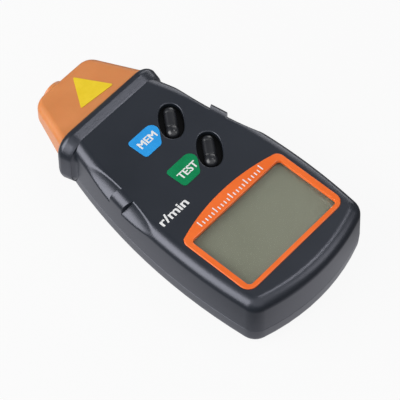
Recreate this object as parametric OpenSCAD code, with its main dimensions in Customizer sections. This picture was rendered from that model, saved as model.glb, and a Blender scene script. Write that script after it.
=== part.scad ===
// Hand-held laser tachometer, lying on its back.
// +Y points to the optics, +X to the right of the reader, +Z up out of the display face.
// The origin is at the middle of the footprint, on the surface it lies on.

/* [Case] */
// Overall length, from the rear end to the receiver rim
overall_l = 141.2; // [134:0.2:156]
// Greatest width of the case
body_w = 70; // [67:0.5:80]
// Width of the case where it meets the collar
front_w = 49.9; // [48:0.1:55]
// Distance of the widest place from the rear end
widest_from_rear = 39.4; // [32:0.2:46]
// Radius of the rear end seen from above
rear_r = 88.4; // [75:0.2:120]
// Radius of the rear corners seen from above
corner_r = 7.8; // [7:0.2:12]
// Radius of the rounded upper edge
top_fillet = 5; // [4:0.2:6]
// Radius of the rounded lower edge
bottom_fillet = 5; // [3:0.5:6]
// Sideways lean of the walls for each millimetre of height
draft = 0.04; // [0:0.01:0.06]
// Wall thickness
wall = 2; // [1.7:0.1:2.4]
// Height of the parting line between the half shells
part_z = 10; // [9.6:0.2:12]
// Bevel of each shell edge at the parting line
seam = 0.15; // [0.1:0.05:0.4]

/* [Collar] */
// How far the collar stands out beside the case
collar_ear = 3.1; // [2:0.1:4]
// How far the collar stands above the display face
collar_proud = 1; // [0.6:0.1:1.6]
// Length of the slope that climbs to the collar's crest
collar_ramp = 4.4; // [3:0.2:6]
// Radius of the collar's front lip
collar_round = 3.4; // [3:0.2:4.2]
// Radius of the collar's upper corners seen from the front
collar_corner = 9; // [7:0.5:11]
// Radius of the collar's lower corners seen from the front
collar_low_corner = 10.4; // [8:0.2:12]
// Height of the collar's lower edge above the back
collar_lift = 0.4; // [0.2:0.1:1]

/* [Nose] */
// Length of the nose from the collar to its front face
nose_l = 23.1; // [20:0.1:26]
// How far the receiver rim stands out of the front face
receiver_rim = 1.05; // [0.6:0.05:2]
// How far the laser port stands out of the front face
laser_rim = 0.5; // [0.2:0.1:1]
// Taper of each side seen from above, degrees
nose_taper = 20.8; // [18:0.2:24]
// Fall of the nose top toward the front, degrees
nose_slope = 7.8; // [6:0.2:9]
// Rise of the nose underside toward the front, degrees
nose_rise = 4; // [2:0.5:6]
// Height of the nose underside at the collar
nose_z0 = 7.7; // [7:0.1:8.2]
// Radius of the nose's upper long edges
nose_edge = 3.4; // [2.4:0.2:5]
// Radius of the nose's lower long edges
nose_low_edge = 6; // [4:0.5:6.5]
// Radius of the front corners seen from above
nose_corner = 4.2; // [3:0.2:6]
// Radius of the front face's upper and lower edge
nose_front_edge = 2.2; // [1.4:0.2:3]
// Wall thickness of the nose
nose_wall = 1.8; // [1.4:0.1:2.2]
// Gap round the nose neck in the collar
nose_gap = 0.15; // [0.1:0.05:0.3]

/* [Optics] */
// Height of the optical axes above the back
optics_z = 16; // [15.6:0.1:16.4]
// Sideways place of the receiver
receiver_x = -4.6; // [-6:0.1:-4]
// Radius of the receiver lens
lens_r = 4.4; // [4:0.1:4.6]
// Thickness of the receiver lens at its middle
lens_t = 3; // [2.4:0.1:3.4]
// Sideways place of the laser
laser_x = 9.5; // [9:0.1:10.5]
// Radius of the laser barrel
laser_r = 3.25; // [3:0.05:3.5]
// Length of the laser barrel
laser_l = 15; // [13:0.5:16]
// Wall of the receiver tube and the laser sleeve
tube_wall = 0.9; // [0.7:0.1:1.1]
// Thickness of the carrier plate of the optics
holder_t = 2; // [1.6:0.1:2.4]
// Thickness of the sensor board
sensor_board_t = 1.6; // [1:0.2:2]

/* [Display] */
// Distance of the orange frame from the rear end
display_from_rear = 13; // [12:0.2:16]
// Distance of the orange frame from the sides of the case
bezel_margin = 6.45; // [6.2:0.05:8]
// Length of the orange frame along its straight sides
bezel_l = 34.7; // [32:0.1:36]
// Rise of the frame's arched front edge
bezel_arch = 4.5; // [3:0.1:6]
// Thickness of the frame
bezel_t = 1.6; // [1.4:0.1:1.8]
// How far the frame stands above the face
bezel_proud = 0.4; // [0.2:0.1:0.6]
// Corner radius of the frame at the rear
bezel_rear_corner = 4.6; // [3:0.2:6]
// Corner radius of the frame beside the arch
bezel_front_corner = 3.4; // [2:0.2:4]
// Width of the frame at its sides
border_side = 2.6; // [2:0.1:3.2]
// Width of the frame at the rear
border_rear = 2.1; // [1.8:0.1:3]
// Width of the frame between the window and the straight part's end
border_front = 2.5; // [2:0.1:3.4]
// Corner radius of the window
window_corner = 1.8; // [1:0.1:2.6]
// Thickness of the clear window
window_t = 1; // [0.8:0.1:1.2]
// Thickness of the display glass
lcd_t = 2.2; // [1.8:0.1:2.8]
// Gap between the window and the display glass
lcd_gap = 0.3; // [0.2:0.1:0.6]
// How far the display glass runs on behind the frame
lcd_margin = 1; // [0.8:0.1:1.2]
// Height of the rubber contact strips
zebra_h = 1.2; // [1:0.1:2]

/* [Buttons] */
// Sideways place of both buttons
button_x = 11.4; // [11:0.1:12]
// Place of the lower button between the display frame and the collar, as a share
test_share = 0.293; // [0.28:0.001:0.31]
// Place of the upper button between the display frame and the collar, as a share
mem_share = 0.654; // [0.64:0.001:0.67]
// Turn of the buttons from the X axis, degrees
button_turn = 50; // [40:1:60]
// Length of the oval wells
well_l = 17.2; // [16:0.2:18]
// Width of the oval wells
well_w = 10.2; // [9:0.2:11]
// Bevel at the rim of the wells
well_bevel = 0.4; // [0.2:0.1:0.6]
// Length of the capsule
capsule_l = 15; // [14:0.2:15.6]
// Radius of the capsule's round near end
capsule_r = 2.75; // [2.5:0.05:3]
// Radius of the capsule's slimmer barrel
barrel_r = 2.55; // [2.3:0.05:2.7]
// Place of the groove behind the near end, from the capsule's middle
near_groove = -2.5; // [-3.4:0.1:-1.6]
// Place of the groove before the far end, from the capsule's middle
far_groove = 4.4; // [3.6:0.1:4.8]
// How far the capsule stands above the face
capsule_proud = 0.9; // [0.5:0.1:1]
// How far the button base reaches beyond the well under the face
base_overlap = 1.2; // [0.8:0.1:1.6]
// Thickness of the button base
base_t = 1.5; // [1.2:0.1:1.6]
// Travel of the buttons
button_travel = 0.6; // [0.4:0.1:0.7]
// Running gap round what moves
run_gap = 0.3; // [0.25:0.05:0.4]

/* [Labels] */
// Thickness of the label films
film_t = 0.2; // [0.15:0.05:0.3]
// Width of the button labels along their upper edge
label_w = 17.6; // [15:0.2:18]
// Height of the button labels
label_h = 10.3; // [9:0.1:11]
// Distance of the labels' left edge from the buttons' middle
label_left = 20.3; // [19:0.1:21]
// Side of the triangular film on the nose
sticker_side = 17.6; // [14:0.2:18.4]

/* [Grips] */
// Distance of the grips' middle from the collar
grip_from_collar = 29.1; // [27:0.1:32]
// Radius of the grip hollow at its middle
grip_r = 13.85; // [12.5:0.05:15]
// Length of each grip hollow's cutter
grip_l = 46; // [42:1:50]
// Radius of the hollow's bow along the case
grip_bow_r = 114; // [95:1:140]
// Distance of the hollow's axis outside the case
grip_out = 8; // [7:0.1:9]
// Height of the hollow's axis above the display face
grip_up = 4.2; // [3.6:0.1:4.8]
// Length of the bridge that parts each hollow at its middle
bridge_l = 7; // [5:0.2:9]
// Slant of the bridge toward the collar, degrees
bridge_slant = 22; // [0:1:30]

/* [Battery] */
// Length of the block cell without its terminals
cell_l = 45.5; // [45:0.1:46]
// Width of the block cell
cell_w = 26.5; // [25.5:0.1:26.5]
// Thickness of the block cell
cell_t = 17.5; // [16.5:0.1:17.5]
// Height of the terminals
terminal_h = 3; // [2.8:0.1:3.2]
// Distance of the cell from the rear end
cell_from_rear = 6.5; // [6:0.1:8]
// Gap over and under the cell
cell_gap = 0.3; // [0.2:0.1:0.6]
// Thickness of the roof over the cell
bay_roof = 0.7; // [0.6:0.1:1]
// Thickness of the side walls of the battery bay
bay_wall = 1.2; // [1:0.1:1.6]
// Thickness of the battery door
door_t = 1.6; // [1.4:0.1:1.8]
// How far the door lies inside the back
door_sunk = 0.2; // [0.1:0.1:0.3]
// How far the door's tongues reach into the rails
tongue = 0.8; // [0.6:0.1:1]

/* [Board and screws] */
// Thickness of the circuit board
board_t = 1.2; // [1:0.1:1.6]
// Gap between the battery bay and the circuit board
board_gap = 0.3; // [0.2:0.1:0.6]
// Radius of the case screws' shanks
screw_r = 1.25; // [1:0.05:1.4]
// Length of the case screws under the head
screw_l = 12; // [10:0.5:13]
// Radius of the board screws' shanks
board_screw_r = 0.9; // [0.8:0.05:1]

/* [Hidden] */
$fn = 64;
eps = 0.01;

// Colours
case_black = [0.17, 0.19, 0.23];
gloss_black = [0.05, 0.05, 0.06];
amber = [0.88, 0.57, 0.33];
frame_orange = [1.0, 0.49, 0.22];
lcd_grey = [0.49, 0.50, 0.44];
mem_blue = [0.20, 0.63, 0.92];
test_green = [0.04, 0.53, 0.31];
sticker_yellow = [0.94, 0.82, 0.20];
board_green = [0.10, 0.36, 0.20];
steel = [0.66, 0.67, 0.68];
brass = [0.76, 0.60, 0.28];
lens_clear = [0.80, 0.88, 0.92];
rubber_grey = [0.35, 0.35, 0.36];

// Heights, from the back up to the display face
door_z0 = door_sunk;
door_z1 = door_z0 + door_t;
cell_z0 = door_z1 + cell_gap;
cell_z1 = cell_z0 + cell_t;
roof_z0 = cell_z1 + cell_gap;
roof_z1 = roof_z0 + bay_roof;
board_z0 = roof_z1 + board_gap;
board_z1 = board_z0 + board_t;
lcd_z0 = board_z1 + zebra_h;
lcd_z1 = lcd_z0 + lcd_t;
window_z0 = lcd_z1 + lcd_gap;
bezel_z0 = window_z0 + window_t;
bezel_z1 = bezel_z0 + bezel_t;
body_h = bezel_z1 - bezel_proud;
face_under = body_h - wall;
collar_top = body_h + collar_proud;

// Places along the case
rear_y = -overall_l / 2;
nose_face_y = overall_l / 2 - receiver_rim;
collar_front_y = nose_face_y - nose_l;
collar_crest_y = collar_front_y - collar_round;
collar_rear_y = collar_crest_y - collar_ramp;
widest_y = rear_y + widest_from_rear;
cavity_front_y = collar_rear_y + 1.5;
grip_y = collar_rear_y - grip_from_collar;
display_y0 = rear_y + display_from_rear;
display_y1 = display_y0 + bezel_l;
arch_y = display_y1 + bezel_arch;
face_l = collar_rear_y - arch_y;
test_y = arch_y + test_share * face_l;
mem_y = arch_y + mem_share * face_l;

bezel_w = body_w - 2 * bezel_margin;

// Plan outline of the case: two long side arcs, a rear arc and two corner arcs
bulge = (body_w - front_w) / 2;
side_r = (pow(collar_rear_y - widest_y, 2) + bulge * bulge) / (2 * bulge);
side_c = [body_w / 2 - side_r, widest_y];
rear_c = [0, rear_y + rear_r];
corner_c = meet(side_c, side_r - corner_r, rear_c, rear_r - corner_r);
side_start = atan2(corner_c[1] - side_c[1], corner_c[0] - side_c[0]);
rear_end = atan2(corner_c[1] - rear_c[1], corner_c[0] - rear_c[0]);
side_steps = 14;
corner_steps = 6;
rear_steps = 5;

// The lower right of the two points where two circles meet
function meet(c1, r1, c2, r2) =
    let (d = norm(c2 - c1))
    let (a = (r1 * r1 - r2 * r2 + d * d) / (2 * d))
    let (h = sqrt(r1 * r1 - a * a))
    let (e = (c2 - c1) / d)
    c1 + a * e + h * [e[1], -e[0]];

function half_w(y) = side_c[0] + sqrt(side_r * side_r - pow(y - widest_y, 2));
function backwards(v) = [for (i = [len(v) - 1 : -1 : 0]) v[i]];
function mirrored(v) = backwards([for (p = v) [-p[0], p[1]]]);
function tail(v) = [for (i = [1 : len(v) - 1]) v[i]];
function lifted(v, z) = [for (p = v) [p[0], p[1], z]];
function arc(c, r, a0, a1, n) =
    [for (i = [0 : n]) c + r * [cos(a0 + (a1 - a0) * i / n), sin(a0 + (a1 - a0) * i / n)]];

// Right half of the case outline, drawn in by an inset, from the rear middle to the front
function right_half(inset, y_front) =
    let (front_a = asin((y_front - widest_y) / (side_r - inset)))
    concat(
        arc(rear_c, rear_r - inset, -90, rear_end, rear_steps),
        tail(arc(corner_c, corner_r - inset, rear_end, side_start, corner_steps)),
        tail(arc(side_c, side_r - inset, side_start, front_a, side_steps))
    );

function case_ring(z, inset, y_front) =
    let (right = right_half(inset + draft * abs(z - part_z), y_front))
    lifted(concat(right, mirrored(tail(right))), z);

// Levels of a rounded upper or lower edge, as height and inset
function upper_edge(z1, r, base, n) =
    [for (i = [0 : n]) [z1 - r + r * sin(90 * i / n), base + r * (1 - cos(90 * i / n))]];
function lower_edge(z0, r, base, n) =
    [for (i = [0 : n]) [z0 + r - r * cos(90 * i / n), base + r * (1 - sin(90 * i / n))]];

// A polygon with its corners rounded, each by its own radius
function rounded(pts, radii, n = 6) =
    [for (i = [0 : len(pts) - 1])
        let (c = pts[i])
        let (p = pts[(i + len(pts) - 1) % len(pts)])
        let (q = pts[(i + 1) % len(pts)])
        each radii[i] == 0 ? [c] : corner_arc(p, c, q, radii[i], n)];
function corner_arc(p, c, q, r, n) =
    let (u = (p - c) / norm(p - c))
    let (v = (q - c) / norm(q - c))
    let (angle = acos(u * v))
    let (m = c + (u + v) / norm(u + v) * r / sin(angle / 2))
    let (s = c + u * r / tan(angle / 2) - m)
    arc(m, r, atan2(s[1], s[0]), atan2(s[1], s[0]) + 180 - angle, n);
function box_points(w, y0, y1) = [[-w, y0], [w, y0], [w, y1], [-w, y1]];

// A section across the case, rounded, for bodies that run along Y
function cross_ring(y, w, z0, z1, r, low_r) =
    let (flat = rounded(box_points(w, z0, z1), [low_r, low_r, r, r], 7))
    [for (p = backwards(flat)) [p[0], y, p[1]]];

// A skin through rings of points that all have the same count
module loft(rings) {
    n = len(rings[0]);
    last = len(rings) - 1;
    sides = [for (k = [0 : last - 1], i = [0 : n - 1])
        [k * n + i, (k + 1) * n + i, (k + 1) * n + (i + 1) % n, k * n + (i + 1) % n]];
    lower = [for (i = [0 : n - 1]) i];
    upper = [for (i = [0 : n - 1]) last * n + n - 1 - i];
    polyhedron([for (r = rings) each r], concat([lower], sides, [upper]), convexity = 8);
}

// Case bodies

module case_loft(levels, y_front) {
    loft([for (l = levels) case_ring(l[0], l[1], y_front)]);
}

module upper_body() {
    rim = [[part_z, seam], [part_z + seam, 0]];
    case_loft(concat(rim, upper_edge(body_h, top_fillet, 0, 7)), collar_crest_y);
}

module upper_cavity() {
    edge = upper_edge(face_under, top_fillet - wall, wall, 4);
    case_loft(concat([[part_z - 1, wall]], edge), cavity_front_y);
}

module lower_body() {
    rim = [[part_z - seam, 0], [part_z, seam]];
    case_loft(concat(lower_edge(0, bottom_fillet, 0, 6), rim), collar_crest_y);
}

module lower_cavity() {
    edge = lower_edge(wall, bottom_fillet - wall, wall, 4);
    case_loft(concat(edge, [[part_z + 1, wall]]), cavity_front_y);
}

function collar_ring(y, inset) =
    cross_ring(y, front_w / 2 + collar_ear - inset, collar_lift + inset, collar_top - inset,
        collar_corner - inset, collar_low_corner - inset);

module collar() {
    start_inset = collar_proud + 0.1;
    lip = [for (i = [0 : 6])
        collar_ring(collar_crest_y + collar_round * sin(15 * i), collar_round * (1 - cos(15 * i)))];
    loft(concat([collar_ring(collar_rear_y, start_inset)], lip));
}

module above_parting() {
    translate([-body_w, -overall_l, part_z]) cube([2 * body_w, 2 * overall_l, 2 * body_h]);
}

module below_parting() {
    translate([-body_w, -overall_l, part_z - 2 * body_h]) cube([2 * body_w, 2 * overall_l, 2 * body_h]);
}

// Nose seat: the neck passes through the collar, and its flange sits in a groove behind
neck_w = front_w / 2 - wall - 1.4;
neck_z0 = nose_z0 + nose_wall - 0.2;
neck_z1 = collar_top - collar_round - nose_wall;
neck_corner = 4;
neck_lower_corner = 0.8;
flange_t = 1.7;
flange_out = 1.3;
flange_y1 = collar_front_y - 2.9;
flange_y0 = flange_y1 - flange_t;

function neck_points(grow) =
    rounded(
        box_points(neck_w + grow, neck_z0 - grow, neck_z1 + grow),
        [neck_lower_corner, neck_lower_corner, neck_corner + grow, neck_corner + grow]
    );

// Stand a flat XZ outline up as a prism from y0 to y1
module along_y(y0, y1) {
    translate([0, y1, 0]) rotate([90, 0, 0]) linear_extrude(y1 - y0) children();
}

module nose_seat() {
    along_y(cavity_front_y - 1, collar_front_y + 1) polygon(neck_points(nose_gap));
    along_y(flange_y0 - nose_gap, flange_y1) polygon(neck_points(flange_out + nose_gap));
}

// Screws of the case, a pair near the collar and a pair at the rear
front_screw = [front_w / 2 - 5.9, collar_rear_y - 4.8];
rear_screw = [0.29 * body_w, rear_y + 9.1];
screw_places = [for (p = [front_screw, rear_screw], s = [-1, 1]) [s * p[0], p[1]]];
screw_gap = 0.05;
boss_r = 3.2;
tube_r = 3.8;
head_r = 2.5;
head_h = 1.8;
head_gap = 0.3;
head_seat_z = part_z / 2;

// Posts of the circuit board
post_r = 2.4;
wide_post_x = bezel_w / 2 - 4.9;
post_places = [
    [-wide_post_x, display_y1 + 3.2], [wide_post_x, display_y1 + 3.2],
    [-14, mem_y + 6], [1.5, mem_y + 7]
];

// Display outlines
function bezel_points(inset) =
    let (w = bezel_w / 2 - inset)
    let (y0 = display_y0 + inset)
    let (y1 = display_y1 - inset)
    let (r = (w * w + bezel_arch * bezel_arch) / (2 * bezel_arch))
    let (reach = asin(w / r))
    let (arch = arc([0, y1 + bezel_arch - r], r, 90 - reach, 90 + reach, 14))
    let (inner = [for (i = [1 : len(arch) - 2]) arch[i]])
    let (front_r = bezel_front_corner - inset)
    let (rear_r = bezel_rear_corner - inset)
    rounded(
        concat([[-w, y0], [w, y0], [w, y1]], inner, [[-w, y1]]),
        concat([rear_r, rear_r, front_r], [for (p = inner) 0], [front_r])
    );

function window_points(grow) =
    rounded(
        box_points(bezel_w / 2 - border_side + grow, display_y0 + border_rear - grow,
            display_y1 - border_front + grow),
        [for (i = [0 : 3]) window_corner]
    );
window_lap = 0.6;
bezel_gap = 0.15;

module display_recess() {
    translate([0, 0, bezel_z0]) linear_extrude(bezel_t + 1) polygon(bezel_points(-bezel_gap));
    translate([0, 0, face_under - 1]) linear_extrude(wall + 2) polygon(window_points(window_lap + bezel_gap));
}

// An oval with fuller sides than an ellipse
oval_power = 0.85;
function bent(v) = sign(v) * pow(abs(v), oval_power);
function oval(l, w) = [for (a = [0 : 9 : 351]) [l / 2 * bent(cos(a)), w / 2 * bent(sin(a))]];

module at_button(y) {
    translate([button_x, y, 0]) rotate([0, 0, button_turn]) children();
}

module button_well(y) {
    plain = oval(well_l, well_w);
    wide = oval(well_l + 2 * well_bevel, well_w + 2 * well_bevel);
    at_button(y) loft([
        lifted(plain, face_under - 1),
        lifted(plain, body_h - well_bevel),
        lifted(wide, body_h + eps)
    ]);
}

// Side grips: a bowed hollow along the upper edge, parted at its middle by a slanted bridge
grip_angle = asin((grip_y - widest_y) / side_r);
bridge_x = -2.7;

module at_grips() {
    for (s = [0, 1]) mirror([s, 0, 0])
        translate([half_w(grip_y), grip_y, 0]) rotate([0, 0, grip_angle]) children();
}

module grip_spindle(grow) {
    r = grip_r + grow;
    translate([grip_out, 0, body_h + grip_up]) rotate([90, 0, 0]) rotate_extrude() intersection() {
        translate([r - grip_bow_r, 0]) circle(grip_bow_r, $fn = 360);
        translate([0, -grip_l / 2]) square([2 * r, grip_l]);
    }
}

module grip_hollow() {
    difference() {
        grip_spindle(0);
        translate([bridge_x, 0, body_h]) rotate([0, 0, bridge_slant])
            cube([4 * grip_r, bridge_l, 4 * grip_r], center = true);
    }
}

module top_shell() {
    color(case_black) difference() {
        union() {
            difference() {
                union() {
                    upper_body();
                    intersection() {
                        collar();
                        above_parting();
                    }
                }
                upper_cavity();
            }
            intersection() {
                upper_body();
                at_grips() grip_spindle(wall);
            }
            for (p = screw_places) translate([p[0], p[1], part_z])
                cylinder(r = boss_r, h = face_under + 0.5 - part_z);
            for (p = post_places) translate([p[0], p[1], board_z1])
                cylinder(r = post_r, h = face_under + 0.5 - board_z1);
        }
        display_recess();
        button_well(mem_y);
        button_well(test_y);
        at_grips() grip_hollow();
        nose_seat();
        for (p = screw_places) translate([p[0], p[1], part_z - 1])
            cylinder(r = screw_r + screw_gap, h = screw_l - head_seat_z + 2);
        for (p = post_places) translate([p[0], p[1], board_z1 - 1])
            cylinder(r = board_screw_r + screw_gap, h = board_screw_l + 1.2 - board_t);
    }
}

// Battery bay and door
door_w = cell_w / 2 + run_gap + 0.3;
bay_w = door_w + run_gap;
rail_w = bay_w + tongue + 1;
rail_z1 = door_z1 + run_gap + 1.4;
tongue_t = 0.6;
cell_y0 = rear_y + cell_from_rear;
cell_y1 = cell_y0 + cell_l;
snap_gap = 0.4;
snap_cover = 1.2;
snap_y0 = cell_y1 + snap_gap;
snap_y1 = cell_y1 + terminal_h + snap_cover;
bay_y1 = snap_y1 + 0.3;
door_y1 = bay_y1 - 0.6;
lead_notch = 6;
lead_z = roof_z0 - 1.4;

module bay_block(grow, y0, z0, z1) {
    translate([-bay_w - grow, y0, z0]) cube([2 * (bay_w + grow), bay_y1 + grow - y0, z1 - z0]);
}

module battery_bay() {
    bay_y0 = cell_y0 - 0.5;
    difference() {
        bay_block(bay_wall, bay_y0, 0, roof_z1);
        bay_block(0, bay_y0 - 1, -1, roof_z0);
        translate([-lead_notch, bay_y1 - 1, lead_z - 1]) cube([2 * lead_notch, bay_wall + 2, roof_z0 - lead_z + 1]);
    }
}

module door_rails() {
    for (s = [0, 1]) mirror([s, 0, 0]) translate([bay_w, rear_y + 2 * wall, 0])
        cube([rail_w - bay_w, bay_y1 + bay_wall - rear_y - 2 * wall, rail_z1]);
}

module door_way() {
    y0 = rear_y - 1;
    y1 = door_y1 + run_gap;
    translate([-bay_w, y0, -1]) cube([2 * bay_w, y1 - y0, door_z1 + run_gap + 1]);
    translate([-bay_w - tongue, y0, door_z1 - tongue_t - run_gap])
        cube([2 * (bay_w + tongue), y1 - y0, tongue_t + 2 * run_gap]);
}

module bottom_shell() {
    color(case_black) difference() {
        union() {
            difference() {
                union() {
                    lower_body();
                    intersection() {
                        collar();
                        below_parting();
                    }
                }
                lower_cavity();
            }
            door_rails();
            battery_bay();
            for (p = screw_places) translate([p[0], p[1], wall / 2])
                cylinder(r = tube_r, h = part_z - wall / 2);
        }
        door_way();
        bay_block(0, cell_y0 - 0.5, door_z1, roof_z0);
        nose_seat();
        for (p = screw_places) translate([p[0], p[1], -1]) {
            cylinder(r = head_r + head_gap, h = head_seat_z + 1);
            cylinder(r = screw_r + 0.25, h = part_z + 2);
        }
    }
}

grip_rib_count = 6;
grip_rib_pitch = 2.4;
grip_rib_l = 15;

module battery_door() {
    color(case_black) difference() {
        union() {
            intersection() {
                translate([0, 0, door_z0]) lower_body();
                translate([-door_w, rear_y - 1, 0]) cube([2 * door_w, door_y1 - rear_y + 1, door_z1]);
            }
            intersection() {
                translate([0, 0, door_z0]) lower_body();
                translate([-door_w - tongue, rear_y + 2 * wall, door_z1 - tongue_t])
                    cube([2 * (door_w + tongue), door_y1 - rear_y - 2 * wall, tongue_t]);
            }
        }
        for (i = [0 : grip_rib_count - 1])
            translate([0, rear_y + 14 + i * grip_rib_pitch, door_z0]) rotate([0, 90, 0])
                cylinder(r = 0.7, h = grip_rib_l, center = true);
    }
}

// Nose
nose_w = front_w / 2 + collar_ear - collar_round;
nose_z1 = collar_top - collar_round;
receiver_rim_r = lens_r + 1.4;
laser_rim_r = 3.4;
laser_port_r = 1.8;
rim_y0 = nose_face_y - 6.8;
lens_seat_y = nose_face_y - 2.8;

function run_in(y, r) =
    let (s = max(0, y - (nose_face_y - r)))
    r - sqrt(max(0, r * r - s * s));

function nose_ring(y, inset) =
    let (d = y - collar_front_y)
    let (fall = run_in(y, nose_front_edge))
    let (w = nose_w - d * tan(nose_taper) - run_in(y, nose_corner) - inset)
    let (z0 = nose_z0 + d * tan(nose_rise) + fall + inset)
    let (z1 = nose_z1 - d * tan(nose_slope) - fall - inset)
    let (most = (z1 - z0) / 2 - 0.4)
    let (upper_r = max(0.6, min(nose_edge - inset - fall / 2, most)))
    let (lower_r = max(0.6, min(nose_low_edge - inset - fall, most)))
    cross_ring(y, w, z0, z1, upper_r, lower_r);

module nose_body() {
    corner = [for (a = [0, 20, 38]) nose_face_y - nose_corner * (1 - sin(a))];
    edge = [for (a = [0, 25, 50, 72, 90]) nose_face_y - nose_front_edge * (1 - sin(a))];
    loft([for (y = concat([collar_front_y], corner, edge)) nose_ring(y, 0)]);
}

module nose_hollow() {
    front = nose_face_y - nose_wall;
    corner = [for (a = [0, 25, 45]) front - nose_corner * (1 - sin(a))];
    loft([for (y = concat([collar_front_y - eps], corner, [front])) nose_ring(y, nose_wall)]);
}

module optics_bore(x, r, y0, y1) {
    translate([x, y0, optics_z]) rotate([-90, 0, 0]) cylinder(r = r, h = y1 - y0);
}

module nose_cap() {
    front = overall_l / 2;
    color(amber) difference() {
        union() {
            difference() {
                union() {
                    nose_body();
                    along_y(flange_y0, collar_front_y + nose_wall) polygon(neck_points(0));
                    along_y(flange_y0, flange_y1 - nose_gap) polygon(neck_points(flange_out));
                }
                nose_hollow();
                along_y(flange_y0 - 1, collar_front_y + nose_wall + 1) polygon(neck_points(-nose_wall));
            }
            optics_bore(receiver_x, receiver_rim_r, rim_y0, front);
            optics_bore(laser_x, laser_rim_r, rim_y0, nose_face_y + laser_rim);
        }
        optics_bore(receiver_x, lens_r + 0.1, lens_seat_y, front + 1);
        optics_bore(receiver_x, lens_r - 0.6, rim_y0 - 1, front + 1);
        optics_bore(laser_x, laser_port_r, rim_y0 - 1, front + 1);
    }
}

sticker_x = 2.3;
sticker_from_collar = 9.4;
sticker_turn = -5;

module nose_sticker() {
    r = sticker_side / sqrt(3);
    points = [for (a = [90, 210, 330]) r * [cos(a), sin(a)]];
    color(sticker_yellow) translate([0, collar_front_y, nose_z1]) rotate([-nose_slope, 0, 0])
        translate([sticker_x, sticker_from_collar, 0]) rotate([0, 0, sticker_turn])
            linear_extrude(film_t) polygon(rounded(points, [0.5, 0.5, 0.5], 4));
}

// Display pieces
bezel_soft = 0.4;

module display_bezel() {
    color(frame_orange) difference() {
        loft([
            lifted(bezel_points(0), bezel_z0),
            lifted(bezel_points(0), bezel_z1 - bezel_soft),
            lifted(bezel_points(0.3 * bezel_soft), bezel_z1 - 0.3 * bezel_soft),
            lifted(bezel_points(bezel_soft), bezel_z1)
        ]);
        translate([0, 0, bezel_z0 - 1]) linear_extrude(bezel_t + 2) polygon(window_points(0));
    }
}

module display_window() {
    color(lens_clear) translate([0, 0, window_z0]) linear_extrude(window_t) polygon(window_points(window_lap));
}

lcd_w = bezel_w / 2 - border_side + lcd_margin;
lcd_y0 = display_y0 + border_rear - lcd_margin;
lcd_y1 = display_y1 - border_front + lcd_margin;
holder_wall = 1;
holder_gap = 0.1;

module lcd_panel() {
    color(lcd_grey) translate([0, 0, lcd_z0]) linear_extrude(lcd_t) polygon(box_points(lcd_w, lcd_y0, lcd_y1));
}

module lcd_holder() {
    g = holder_gap;
    o = holder_gap + holder_wall;
    color(case_black) translate([0, 0, board_z1]) linear_extrude(lcd_z1 - board_z1) difference() {
        polygon(box_points(lcd_w + o, lcd_y0 - o, lcd_y1 + o));
        polygon(box_points(lcd_w + g, lcd_y0 - g, lcd_y1 + g));
    }
}

module zebra_strips() {
    strip_w = 2;
    inset = 0.8;
    color(rubber_grey) for (y = [lcd_y0 + inset, lcd_y1 - inset - strip_w])
        translate([-lcd_w + 2, y, board_z1]) cube([2 * lcd_w - 4, strip_w, zebra_h]);
}

// Buttons and their switches
base_z1 = face_under - run_gap;
base_z0 = base_z1 - base_t;
capsule_z = body_h + capsule_proud - capsule_r;
band_w = 0.5;
band_d = 0.45;
crown_cut = 0.2;
switch_w = 4.6;
switch_top = base_z0 - button_travel - run_gap;
plunger_r = 1.4;
plunger_z0 = board_z1 + button_travel + run_gap;

module capsule() {
    near_c = capsule_r - capsule_l / 2;
    far_c = capsule_l / 2 - barrel_r;
    rotate([0, 90, 0]) rotate_extrude() difference() {
        intersection() {
            union() {
                translate([0, near_c]) circle(capsule_r);
                translate([0, near_c]) square([capsule_r, near_groove - near_c]);
                translate([0, near_groove]) square([barrel_r, far_c - near_groove]);
                translate([0, far_c]) circle(barrel_r);
            }
            translate([0, -capsule_l]) square([capsule_l, 2 * capsule_l]);
        }
        translate([capsule_r, near_groove]) polygon([[-band_d - 0.2, 0], [eps, -band_w], [eps, band_w]]);
        translate([barrel_r, far_groove]) polygon([[-band_d, 0], [eps, -band_w], [eps, band_w]]);
    }
}

module press_button(y) {
    base = oval(well_l + 2 * base_overlap, well_w + 2 * base_overlap);
    color(gloss_black) at_button(y) {
        translate([0, 0, base_z0]) linear_extrude(base_t) polygon(base);
        difference() {
            translate([0, 0, capsule_z]) capsule();
            translate([-capsule_l, -capsule_l, base_z0 + base_t / 2 - capsule_l])
                cube([2 * capsule_l, 2 * capsule_l, capsule_l]);
            translate([near_groove, -capsule_r, capsule_z + barrel_r - crown_cut])
                cube([far_groove - near_groove, 2 * capsule_r, 1]);
        }
    }
}

module press_switch(y) {
    color(steel) at_button(y) translate([0, 0, board_z1]) difference() {
        translate([-switch_w / 2, -switch_w / 2, 0]) cube([switch_w, switch_w, switch_top - board_z1]);
        translate([0, 0, -1]) cylinder(r = plunger_r + run_gap, h = switch_top - board_z1 + 2);
    }
}

module press_plunger(y) {
    color(gloss_black) at_button(y) translate([0, 0, plunger_z0]) cylinder(r = plunger_r, h = base_z0 - plunger_z0);
}

module mem_button() { press_button(mem_y); }
module test_button() { press_button(test_y); }
module mem_switch() { press_switch(mem_y); }
module test_switch() { press_switch(test_y); }
module mem_plunger() { press_plunger(mem_y); }
module test_plunger() { press_plunger(test_y); }

// Films beside the buttons: the slanted end follows the oval well
label_lean = 8.2;
label_up = 0.3;
label_corners = [1.5, 2.6, 3.2, 1.4];

module button_label(y, tint) {
    x0 = button_x - label_left;
    y0 = y + label_up - label_h / 2;
    y1 = y0 + label_h;
    points = [[x0 + 0.4, y0], [x0 + label_w - label_lean, y0], [x0 + label_w, y1], [x0, y1]];
    color(tint) translate([0, 0, body_h]) linear_extrude(film_t) polygon(rounded(points, label_corners));
}

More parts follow.
